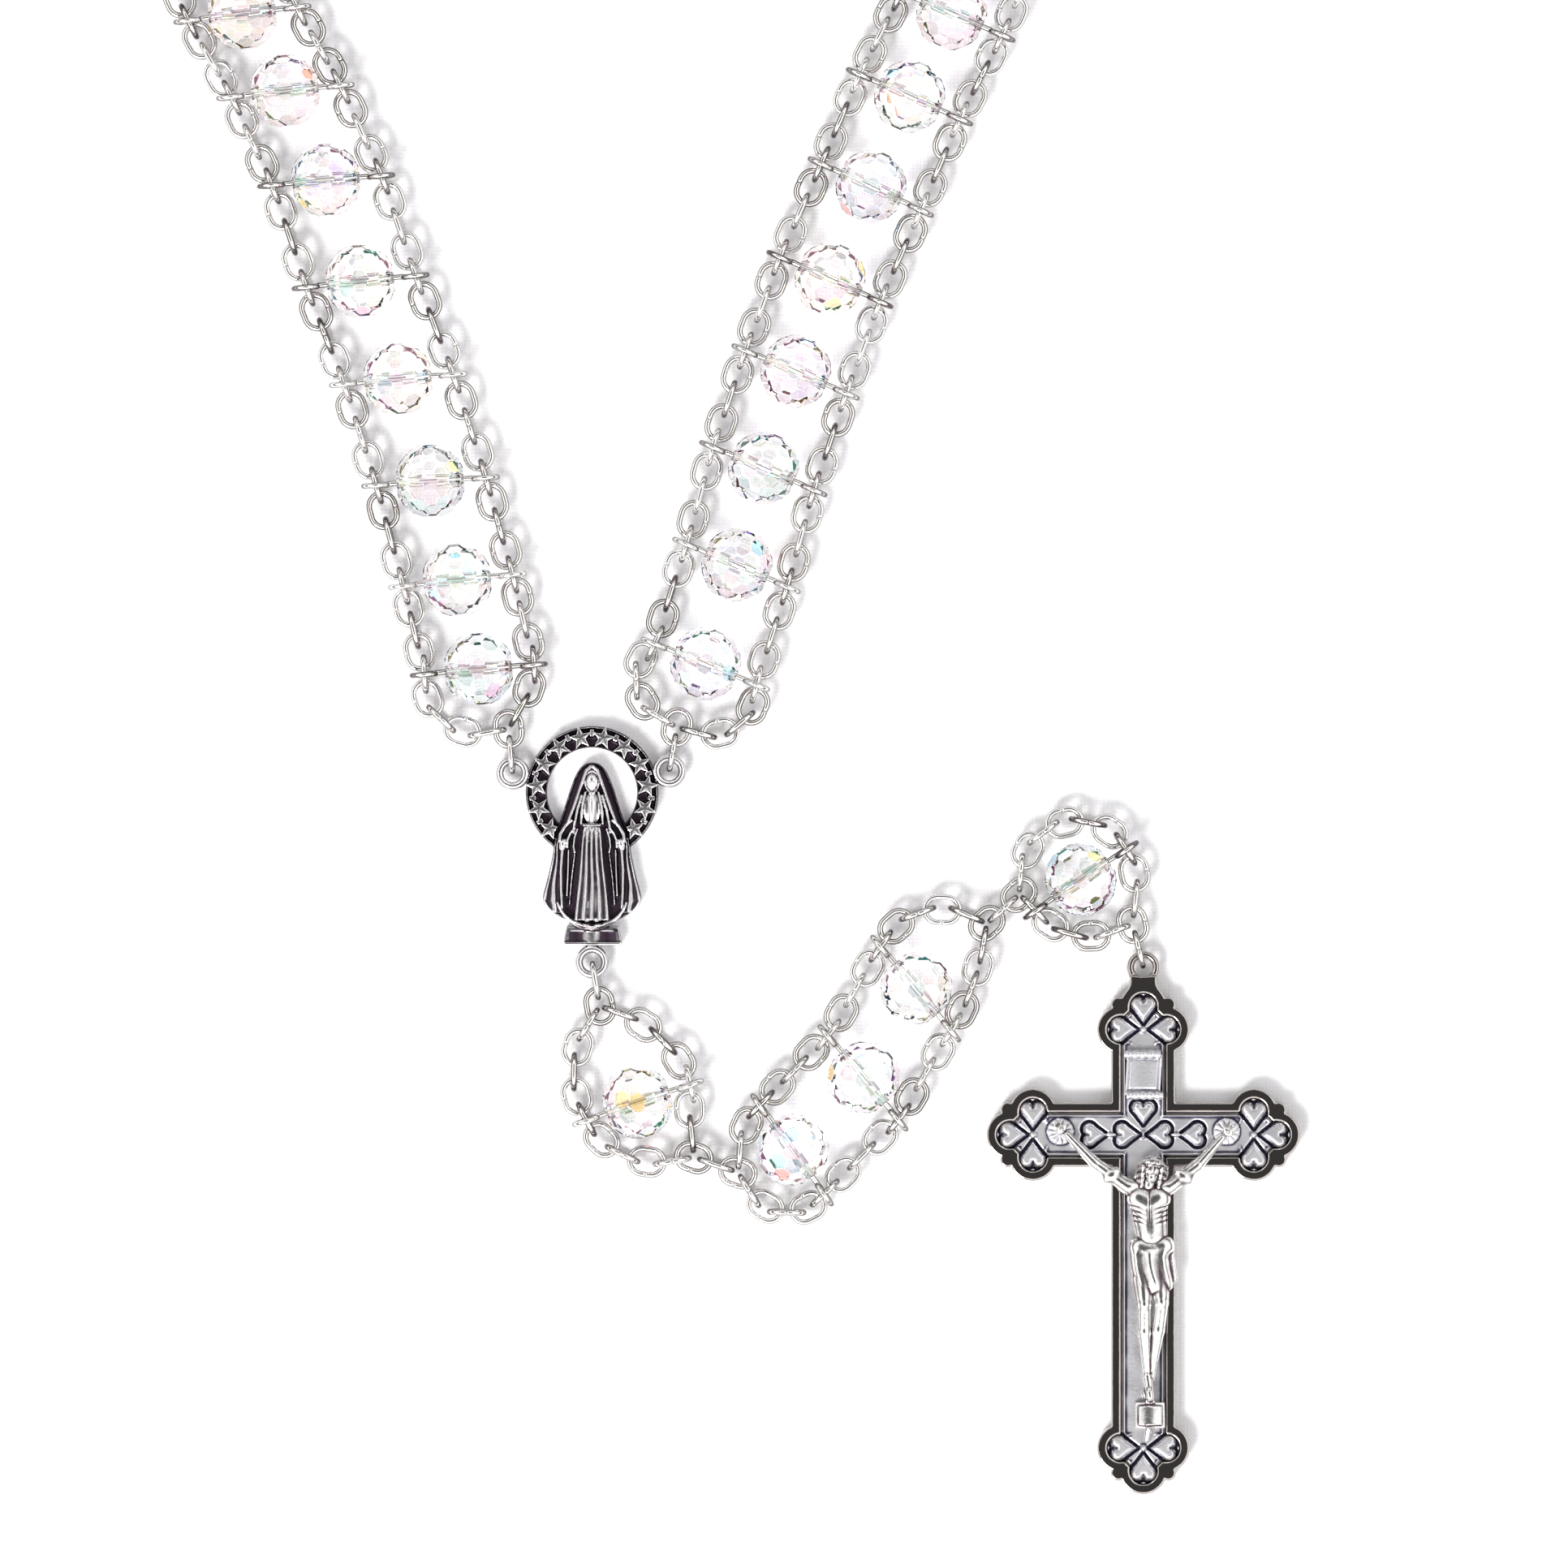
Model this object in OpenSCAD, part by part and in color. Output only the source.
// Ladder rosary of glass beads on two silver-coloured cable chains, lying flat.
// The origin is on the back of the centrepiece medal, in the middle of its ring of stars.
// +Y runs up the loop, -Y down to the pendant, +Z is up from the surface it lies on.

/* [Beads] */
// Diameter of a bead
bead_d = 7; // [6.6:0.1:7.1]
// Facets round a bead
bead_facets = 10; // [8:1:12]
// Bore through a bead
bead_bore = 0.8; // [0.7:0.05:1.2]

/* [Eye pins] */
// Wire of the straight part of an eye pin
pin_wire = 0.5; // [0.4:0.02:0.52]
// Wire of the round eye at each end
eye_wire = 0.5; // [0.44:0.02:0.5]
// Distance from the bead's centre to the centre of each eye
eye_span = 5.1; // [5:0.05:5.2]

/* [Chain links] */
// Wire of a chain link
link_wire = 0.55; // [0.5:0.01:0.58]
// Outer length of a link
link_length = 3.75; // [3.72:0.01:3.8]
// Outer width of a link
link_width = 2.95; // [2.9:0.01:3]

/* [Loop] */
// Spacing of the beads in a decade
decade_step = 9.3; // [9:0.1:9.5]
// Spacing on either side of a single bead
single_step = 13.8; // [13.6:0.1:14]
// Spacing where the closed loop is parted, at its far end
open_step = 16.2; // [16:0.1:17]
// Angle of each arm away from straight up the loop
arm_lean = 23; // [20:1:26]

/* [Centrepiece] */
// Outer diameter of the ring of stars
star_ring_d = 12.4; // [12:0.1:12.8]
// Inner diameter of the ring of stars
star_ring_bore = 8.4; // [8:0.1:8.8]
// Thickness of the casting behind its relief
medal_thick = 1.8; // [1.7:0.1:2]

/* [Crucifix] */
// Width of each arm of the cross
cross_bar = 6; // [5.6:0.1:6.2]
// Width of the polished border
cross_border = 0.9; // [0.8:0.05:1.1]
// Thickness of the cross
cross_thick = 2; // [1.8:0.1:2.2]

/* [Hidden] */
bead_waist = 69;            // polar angle of the rings next to the widest one
bead_z = bead_d / 2 * max(cos(180 / bead_facets), sin(bead_waist));   // lying on a facet edge
eye_turn = 1.15;            // radius of an eye, to the middle of its wire
link_turn = (link_width - link_wire) / 2;
link_flat = link_length - link_width;
link_reach = link_flat / 2 + link_turn;   // link centre to the middle of its end wire
chain_z = 1.65;             // height of the upright links' middle
flat_rise = 0.2;            // how much higher the flat links between them lie
eye_z = 1.45;               // height of the cast eyes of the medal and the crucifix
neck_z = 1.65;              // height of the links that hook the cast eyes
cast_eye_turn = 1.2;        // radius of a cast eye, to the middle of its rim
cast_eye_wire = 0.7;
neck_reach = 1.75;          // cast eye centre to neck link centre
ring_reach = 4.15;          // cast eye centre to shared link centre
decade_bay = 4;             // link pitches between two beads of a decade
single_bay = 6;             // link pitches either side of a single bead

// Places of the beads on the two arms next to the medal: x, y, angle of the pin
LEFT_ARM = [
    [-10.5, 11.5, 5], [-12.5, 19.8, 6], [-15, 29, 4], [-18, 38.5, 5],
    [-21.5, 47.6, 6], [-24.7, 57, 5], [-28.5, 65.3, 6], [-32.5, 72.5, 7]
];
RIGHT_ARM = [
    [10.6, 12, 158], [13.5, 21.2, 157], [16, 30.2, 157], [19, 39.2, 157],
    [22.2, 47.8, 156], [26, 56.4, 155], [29.6, 64.8, 156], [33.5, 72.5, 157]
];
// Heading of the chain at the two eyes nearest the medal, outside and inside the loop
LEFT_END = [94, 94];
RIGHT_END = [76, 64];
// The five beads of the pendant, and the heading of the chain at their two eyes
PENDANT = [
    [4.3, -28.8, 19], [18.7, -33.2, -54], [25.3, -26.5, -50], [30.2, -18.2, -50],
    [45.5, -8.1, 34]
];
PENDANT_HEADINGS = [[-62, -77], [46, 44], [52, 52], [55, 59], [-46, -57]];

// Cast eyes: x, y, heading of the link that hooks them
MEDAL_LEFT = [-7.4, 1.8, 95];
MEDAL_RIGHT = [7.2, 2, 80];
MEDAL_FOOT = [0, -15.8, -80];
CROSS_EYE = [51.4, -16.3, 104];

// Shared links of the pendant, where its two chains come together
JOIN_A = [9.5, -34];
JOIN_B = [13.6, -35.4];
JOIN_C = [36.8, -12.2];
JOIN_D = [39.8, -9.5];

loop_count = 54;
per_decade = 11;            // ten beads and the single bead after them
open_rung = 31;             // the loop is parted after this bead

cross_centre = [51.4, -31.9];
cross_up = 9.8;             // centre to the middle of the top bud
cross_side = 10.3;
cross_down = 29.2;
bud_r = 3.05;
bud_spread = 2.1;
relief = 0.25;              // height of stars, hearts and folds above their ground

// ---- places along the loop ----

function dir(a) = [cos(a), sin(a)];
function heading(p, q) = atan2(q.y - p.y, q.x - p.x);
function flat(p) = [p.x, p.y];
function is_single(i) = i % per_decade == per_decade - 1;
function step_after(i) =
    i == open_rung ? open_step : is_single(i) || is_single(i + 1) ? single_step : decade_step;
function total(list, i = 0) = i == len(list) ? 0 : list[i] + total(list, i + 1);
function run_to(i) = i == last_left ? 0 : total([for (k = [last_left:i - 1]) step_after(k)]);

last_left = len(LEFT_ARM) - 1;
first_right = loop_count - len(RIGHT_ARM);
far_left = flat(LEFT_ARM[last_left]);
far_right = flat(RIGHT_ARM[len(RIGHT_ARM) - 1]);
half_gap = (far_right.x - far_left.x) / 2;
unseen = run_to(first_right);
turn_deg = 180 + 2 * arm_lean;
turn_rad = turn_deg * PI / 180;
straight = (unseen - turn_rad * half_gap / cos(arm_lean)) / (2 + turn_rad * tan(arm_lean));
loop_r = (half_gap + straight * sin(arm_lean)) / cos(arm_lean);
turn_start = far_left + straight * dir(90 + arm_lean);
turn_centre = turn_start + loop_r * dir(arm_lean);

// Place on the route beyond the left arm: straight, round, and straight back
function on_route(s) =
    s < straight ? concat(far_left + s * dir(90 + arm_lean), arm_lean)
    : s < straight + loop_r * turn_rad
        ? let (a = (s - straight) / loop_r * 180 / PI)
          concat(turn_centre + loop_r * dir(180 + arm_lean - a), arm_lean - a)
    : let (back = unseen - s)
      concat(far_right + back * dir(90 - arm_lean), arm_lean - turn_deg);

// The pins of the left arm lean a little, and square up along the unseen stretch
left_lean = LEFT_ARM[last_left][2];
function settle(i) = min(1, (i - last_left) / 8);
function rung(i) =
    i <= last_left ? LEFT_ARM[i]
    : i >= first_right ? let (r = RIGHT_ARM[loop_count - 1 - i]) [r.x, r.y, r[2] - 360]
    : let (p = on_route(run_to(i)))
      [p.x, p.y, p[2] + (1 - settle(i)) * (left_lean - arm_lean)];

// Eye of a pin on one side: 1 is inside the loop, -1 outside
function eye(r, side) = flat(r) + side * eye_span * dir(r[2]);
function eye_of(i, side) = eye(rung(i), side);
function chain_heading(i, side) =
    i == 0 ? LEFT_END[side > 0 ? 1 : 0]
    : i == loop_count - 1 ? RIGHT_END[side > 0 ? 1 : 0]
    : heading(eye_of(i - 1, side), eye_of(i + 1, side));

// Point a fraction t along the arc from p to q that sets out bow degrees left of the chord
function on_arc(p, q, bow, t) =
    p + norm(q - p) * (abs(bow) < 0.1 ? t : sin(bow * t) / sin(bow))
        * dir(heading(p, q) + bow * (1 - t));
function arc_heading(p, q, bow, t) = heading(p, q) + bow * (1 - 2 * t);
function bow_of(a, p, q) = let (b = a - heading(p, q)) b > 180 ? b - 360 : b < -180 ? b + 360 : b;

// ---- pieces ----

module silver() { color([0.78, 0.77, 0.74]) children(); }
module bright() { color([0.88, 0.87, 0.85]) children(); }
module antique() { color([0.55, 0.53, 0.54]) children(); }
module glass() { color([0.87, 0.86, 0.9, 0.6]) children(); }

// One oval link of round wire, long along X, flat in XY
module link() {
    for (side = [0, 180])
        rotate(side) translate([link_flat / 2, 0, 0]) rotate(-90)
            rotate_extrude(angle = 180, $fn = 24)
                translate([link_turn, 0]) circle(d = link_wire, $fn = 16);
    for (side = [-1, 1])
        translate([0, side * link_turn, 0]) rotate([0, 90, 0])
            cylinder(h = link_flat, d = link_wire, center = true, $fn = 16);
}

module placed_link(at, a, upright, z = chain_z) {
    translate([at.x, at.y, z + (upright ? 0 : flat_rise)]) rotate([upright ? 90 : 0, 0, a]) link();
}

// Links first to last of an arc of so many pitches; even ones stand upright
module arc_links(p, q, bow, pitches, first, last, z0 = chain_z, z1 = chain_z) {
    for (i = [first:last]) {
        t = i / pitches;
        placed_link(on_arc(p, q, bow, t), arc_heading(p, q, bow, t), i % 2 == 0,
            z0 + (z1 - z0) * t);
    }
}

// Branch from a shared link: an upright link through it, then a chain to an eye
module branch(ring, a, reach, target, pitches, z = chain_z) {
    start = ring + reach * dir(a);
    arc_links(start, target, bow_of(a, start, target), pitches, 0, pitches - 1, z);
}

// Faceted bead along X: staggered rings of corners on a sphere, flat round the bore
bead_rings = [22, 46, bead_waist, 90, 180 - bead_waist, 134, 158];
module bead_body() {
    n = bead_facets;
    rows = len(bead_rings);
    corners = [for (k = [0:rows - 1]) for (j = [0:n - 1])
        let (polar = bead_rings[k], round = 360 / n * (j + (k % 2) / 2) - 90)
        bead_d / 2 * [cos(polar), sin(polar) * cos(round), sin(polar) * sin(round)]];
    sides = [for (k = [0:rows - 2]) for (j = [0:n - 1]) for (half = [0, 1])
        let (a = k * n + j, b = k * n + (j + 1) % n, odd = k % 2,
             c = (k + 1) * n + (j + odd) % n, d = (k + 1) * n + (j + odd + n - 1) % n)
        half == 0 ? [a, b, c] : [a, c, d]];
    ends = [[for (j = [n - 1:-1:0]) j], [for (j = [0:n - 1]) (rows - 1) * n + j]];
    polyhedron(points = corners, faces = concat(sides, ends));
}

module bead(r) {
    translate([r.x, r.y, bead_z]) rotate([0, 0, r[2]]) difference() {
        bead_body();
        rotate([0, 90, 0]) cylinder(h = bead_d + 2, d = bead_bore, center = true, $fn = 24);
    }
}

// Eye pin along X with an upright eye at each end
module pin(r) {
    shank = eye_span - eye_turn;
    translate([r.x, r.y, bead_z]) rotate([0, 0, r[2]]) {
        rotate([0, 90, 0]) cylinder(h = 2 * shank, d = pin_wire, center = true, $fn = 24);
        for (side = [-1, 1])
            translate([side * eye_span, 0, 0])
                rotate([90, 0, 0])
                    rotate_extrude($fn = 32)
                        translate([eye_turn, 0]) circle(d = eye_wire, $fn = 16);
    }
}

// ---- loop ----

function first_of(k) = per_decade * (k - 1);

module beads_of(k) {
    for (i = [first_of(k):first_of(k) + 9]) bead(rung(i));
}

module pins_of(k) {
    for (i = [first_of(k):first_of(k) + 9]) pin(rung(i));
}

module loop_arc(i, side, pitches, first, last) {
    for (n = [first:last]) {
        t = n / pitches;
        a = eye_of(i, side);
        b = eye_of(i + 1, side);
        placed_link(a + (b - a) * t, heading(a, b), n % 2 == 0);
    }
}

module eye_link(i, side) {
    placed_link(eye_of(i, side), chain_heading(i, side), true);
}

// Links on either side of the place where the loop is parted keep their pitch
module parted_links(i, side, from_next, first, last) {
    a = eye_of(from_next ? i + 1 : i, side);
    b = eye_of(from_next ? i : i + 1, side);
    pitch = side > 0 ? 2.2 : 2.45;
    for (n = [first:last])
        placed_link(a + n * pitch * dir(heading(a, b)), heading(a, b), n % 2 == 0);
}

// Links of the long bay after bead i: the half next to it, or the half next to bead i + 1.
// The arm that starts at the medal's left owns three links before each fold and two after.
module bay_half(i, side, near) {
    left_side = i <= open_rung;
    if (i == open_rung) {
        if (near) parted_links(i, side, false, 1, 3);
        else parted_links(i, side, true, 1, 2);
    }
    else if (near) loop_arc(i, side, single_bay, 1, left_side ? 3 : 2);
    else loop_arc(i, side, single_bay, left_side ? 4 : 3, 5);
}

module decade_chain(k, side) {
    a = first_of(k);
    for (i = [a:a + 9]) eye_link(i, side);
    for (i = [a:a + 8]) loop_arc(i, side, decade_bay, 1, decade_bay - 1);
    if (k > 1) bay_half(a - 1, side, false);
    if (k < 5) bay_half(a + 9, side, true);
}

module single_links(k) {
    i = per_decade * k - 1;
    for (side = [-1, 1]) {
        eye_link(i, side);
        bay_half(i - 1, side, false);
        bay_half(i, side, true);
    }
}

module decade_beads(k) { glass() beads_of(k); }
module decade_pins(k) { bright() pins_of(k); }

// ---- medal forks ----

function ring_at(e) = flat(e) + ring_reach * dir(e[2]);

module neck_link(e) {
    placed_link(flat(e) + neck_reach * dir(e[2]), e[2], true, neck_z);
}

module shared_link(at, a, z = chain_z) { placed_link(at, a, false, z); }

module left_fork() {
    shared_link(ring_at(MEDAL_LEFT), MEDAL_LEFT[2], neck_z);
    branch(ring_at(MEDAL_LEFT), 60, 2.05, eye_of(0, 1), 2, neck_z);
    branch(ring_at(MEDAL_LEFT), 190, 2.05, eye_of(0, -1), 4, neck_z);
}

module right_fork() {
    last = loop_count - 1;
    shared_link(ring_at(MEDAL_RIGHT), MEDAL_RIGHT[2], neck_z);
    branch(ring_at(MEDAL_RIGHT), 150, 2.05, eye_of(last, 1), 4, neck_z);
    branch(ring_at(MEDAL_RIGHT), -15, 2.05, eye_of(last, -1), 4, neck_z);
}

// ---- pendant ----

function pendant_eye(k, side) = eye(PENDANT[k], side);

module pendant_eye_links(k) {
    for (s = [0, 1])
        placed_link(pendant_eye(k, s == 0 ? -1 : 1), PENDANT_HEADINGS[k][s], true);
}

module pendant_bay(k, first, last) {
    for (side = [-1, 1])
        arc_links(pendant_eye(k, side), pendant_eye(k + 1, side), 0, decade_bay, first, last);
}

// Chains of the pendant, one group for each bead
module pendant_links(k) {
    pendant_eye_links(k - 1);
    if (k == 1) {
        shared_link(ring_at(MEDAL_FOOT), MEDAL_FOOT[2], neck_z);
        branch(ring_at(MEDAL_FOOT), -122, 2.05, pendant_eye(0, -1), 4, neck_z);
        branch(ring_at(MEDAL_FOOT), -20, 2.05, pendant_eye(0, 1), 4, neck_z);
        shared_link(JOIN_A, heading(JOIN_A, JOIN_B));
        branch(JOIN_A, 190, 2.05, pendant_eye(0, -1), 4);
        branch(JOIN_A, 96, 2.2, pendant_eye(0, 1), 2);
    }
    if (k == 2) {
        shared_link(JOIN_B, heading(JOIN_A, JOIN_B));
        branch(JOIN_B, 85, 2.1, pendant_eye(1, -1), 2);
        branch(JOIN_B, -58, 2.05, pendant_eye(1, 1), 4);
        pendant_bay(1, 1, 1);
    }
    if (k == 3) {
        pendant_bay(1, 2, 3);
        pendant_bay(2, 1, 1);
    }
    if (k == 4) {
        pendant_bay(2, 2, 3);
        shared_link(JOIN_C, heading(JOIN_C, JOIN_D));
        branch(JOIN_C, 157, 2.05, pendant_eye(3, -1), 4);
        branch(JOIN_C, -100, 2.05, pendant_eye(3, 1), 4);
    }
    if (k == 5) {
        cross_ring = ring_at(CROSS_EYE);
        shared_link(JOIN_D, heading(JOIN_C, JOIN_D));
        branch(JOIN_D, 85, 2.05, pendant_eye(4, 1), 6);
        shared_link(cross_ring, CROSS_EYE[2], neck_z);
        branch(cross_ring, 84, 2.4, pendant_eye(4, 1), 2, neck_z);
        branch(cross_ring, 200, 2.05, pendant_eye(4, -1), 4, neck_z);
    }
}

module join_link(from, to) {
    placed_link((from + to) / 2, heading(from, to), true);
}

// ---- centrepiece ----

star_r = 1.15;
star_count = 12;
star_gap = 23.8;            // angle between two stars; the ring is open behind the hem
module star() {
    polygon([for (k = [0:9]) (k % 2 == 0 ? star_r : star_r * 0.45) * dir(90 + 36 * k)]);
}

module cast_eye(e) {
    translate([e.x, e.y, eye_z]) rotate_extrude($fn = 48)
        translate([cast_eye_turn, 0]) circle(d = cast_eye_wire, $fn = 24);
}

// Outline of the robed figure, one side from the crown down to the hem
FIGURE = [
    [0, 2.8], [1.1, 2.45], [1.8, 1.3], [2.5, -0.7], [3.2, -2.6], [3.9, -3.9],
    [3.7, -5.2], [4.1, -7.4], [4.8, -10.2], [3.7, -11], [2.6, -11.6], [0, -12.2]
];
module mirrored_outline(half) {
    polygon(concat(half, [for (k = [len(half) - 1:-1:0]) [-half[k].x, half[k].y]]));
}

module centrepiece() {
    figure_top = medal_thick + 0.3;
    ring_mid = (star_ring_d + star_ring_bore) / 4;
    antique() {
        difference() {
            cylinder(h = medal_thick, d = star_ring_d, $fn = 96);
            translate([0, 0, -1])
                cylinder(h = medal_thick + 2, d = star_ring_bore, $fn = 96);
        }
        for (k = [0:star_count - 1])
            rotate(star_gap * (k + 0.5 - star_count / 2)) translate([0, ring_mid, 0])
                linear_extrude(medal_thick + relief) star();
        linear_extrude(medal_thick) mirrored_outline(FIGURE);
        linear_extrude(figure_top)
            polygon([[-1.1, -0.6], [1.1, -0.6], [1.3, -3.5], [2.5, -11], [0, -11.9],
                [-2.5, -11], [-1.3, -3.5]]);
        translate([0, 1.1, medal_thick]) scale([0.75, 1, 0.7]) sphere(r = 1, $fn = 32);
        for (side = [-1, 1]) {
            translate([side * 2.9, -4.7, medal_thick])
                scale([0.6, 0.9, 0.5]) sphere(r = 1, $fn = 24);
            translate([side * 3.6, -7.6, 0]) rotate(side * 8)
                translate([-0.25, -3, 0]) cube([0.5, 5.4, figure_top]);
        }
        intersection() {
            difference() {
                translate([0, -9, 0]) cylinder(h = figure_top, r = 4.05, $fn = 64);
                translate([0, -8.1, -1]) cylinder(h = figure_top + 2, r = 3.75, $fn = 64);
            }
            translate([-5, -14, 0]) cube([10, 4, 4]);
        }
        translate([0, -12.4, 0]) linear_extrude(medal_thick + 0.1)
            polygon([[-2.5, 0], [2.5, 0], [2.8, -1.3], [2.5, -1.9], [-2.5, -1.9], [-2.8, -1.3]]);
        translate([-0.6, -15, 1.1]) cube([1.2, 1, 0.7]);
        cast_eye(MEDAL_LEFT);
        cast_eye(MEDAL_RIGHT);
        cast_eye(MEDAL_FOOT);
    }
}

// ---- crucifix ----

// Budded cross, pulled in all round by inset
module bud(inset) {
    circle(r = bud_r - inset, $fn = 48);
    for (a = [-90, 0, 90])
        translate(bud_spread * dir(a)) circle(r = bud_r - 0.85 - inset, $fn = 48);
    if (inset == 0)
        for (a = [-45, 45]) translate(3.3 * dir(a)) circle(r = 0.7, $fn = 32);
}

module cross_shape(inset) {
    width = cross_bar - 2 * inset;
    for (arm = [[90, cross_up], [0, cross_side], [180, cross_side], [270, cross_down]])
        rotate(arm[0]) {
            translate([0, -width / 2]) square([arm[1], width]);
            translate([arm[1], 0]) bud(inset);
        }
}

module on_cross() { translate([cross_centre.x, cross_centre.y, 0]) children(); }

pocket_floor = 1;
inlay_top = 1.7;
module cross_frame() {
    bright() {
        on_cross() difference() {
            linear_extrude(cross_thick) cross_shape(0);
            translate([0, 0, pocket_floor]) linear_extrude(cross_thick) cross_shape(cross_border);
        }
        translate([CROSS_EYE.x - 1.2, cross_centre.y + cross_up + 3.6, 0.6])
            cube([2.4, -16.3 - cast_eye_turn - cross_centre.y - cross_up - 3.6, 1.2]);
        cast_eye(CROSS_EYE);
    }
}

module heart(size) {
    for (side = [-1, 1])
        translate([side * size / 4, size / 4, 0]) circle(d = size * 0.56, $fn = 24);
    polygon([[-size * 0.5, size * 0.17], [size * 0.5, size * 0.17], [0, -size * 0.55]]);
}

module cross_inlay() {
    gap = 0.04;
    heart_size = 1.7;
    antique() on_cross() {
        translate([0, 0, pocket_floor])
            linear_extrude(inlay_top - pocket_floor) cross_shape(cross_border + gap);
        translate([0, 0, inlay_top - 0.1]) linear_extrude(relief + 0.1) {
            for (arm = [[0, cross_up], [-90, cross_side], [90, cross_side], [180, cross_down]])
                rotate(arm[0]) translate([0, arm[1]])
                    for (a = [-90, 0, 90]) rotate(a) translate([0, 1.9]) heart(heart_size);
            for (a = [-90, 90]) rotate(a) for (k = [1.5, 4.4]) translate([0, k]) heart(heart_size);
            translate([0, 2.4]) heart(heart_size);
        }
    }
}

module title_scroll() {
    width = 3;
    height = 3.6;
    roll = 0.8;
    bright() on_cross() translate([0, 5.6, inlay_top]) {
        translate([-width / 2, -height / 2, 0]) cube([width, height, 0.35]);
        for (side = [-1, 1])
            translate([-side * 0.3, side * height / 2, roll / 2]) rotate([0, 90, 0])
                cylinder(h = width, d = roll, center = true, $fn = 24);
    }
}

// Figure on the cross: tapered limbs between ball joints
module limb(p, q, r1, r2) {
    hull() {
        translate(p) sphere(r = r1, $fn = 16);
        translate(q) sphere(r = r2, $fn = 16);
    }
}

module corpus() {
    top = inlay_top + 0.1;
    bright() on_cross() intersection() {
        union() {
            translate([0.7, -2.7, top + 1.1]) sphere(r = 1.05, $fn = 24);
            for (side = [-1, 1])
                limb([side * 7.2, 0, top + 0.5], [side * 1.8, -4.7, top + 0.7], 0.5, 0.75);
            limb([0, -5.2, top + 0.6], [0.1, -10, top + 0.5], 1.8, 1.4);
            limb([0, -10.6, top + 0.7], [0.2, -13.6, top + 0.8], 1.7, 1.5);
            limb([-0.6, -13.5, top + 0.8], [-0.2, -18.8, top + 0.9], 1, 0.75);
            limb([0.7, -13.5, top + 0.8], [0.4, -18.8, top + 0.7], 1, 0.75);
            limb([0.1, -18.8, top + 0.7], [0.4, -24.6, top + 0.5], 1.1, 0.6);
            translate([-1.1, -26.9, 0]) cube([2.6, 2.2, inlay_top + 0.9]);
        }
        translate([-12, -30, cross_thick + 0.02]) cube([24, 36, 4]);
    }
}

// ---- nodes ----

centrepiece();
silver() neck_link(MEDAL_LEFT);  // left_neck_link
silver() left_fork();  // left_fork_links
silver() neck_link(MEDAL_RIGHT);  // right_neck_link
silver() right_fork();  // right_fork_links
silver() neck_link(MEDAL_FOOT);  // pendant_neck_link
for (k = [1:5]) {
    decade_beads(k);
    decade_pins(k);
    silver() decade_chain(k, -1);
    silver() decade_chain(k, 1);
    glass() bead(PENDANT[k - 1]);
    bright() pin(PENDANT[k - 1]);
    silver() pendant_links(k);
}
for (k = [1:4]) {
    glass() bead(rung(per_decade * k - 1));
    bright() pin(rung(per_decade * k - 1));
    silver() single_links(k);
}
silver() join_link(JOIN_A, JOIN_B);  // join_link_1
silver() join_link(JOIN_C, JOIN_D);  // join_link_2
silver() neck_link(CROSS_EYE);  // crucifix_link
cross_frame();
cross_inlay();
title_scroll();
corpus();
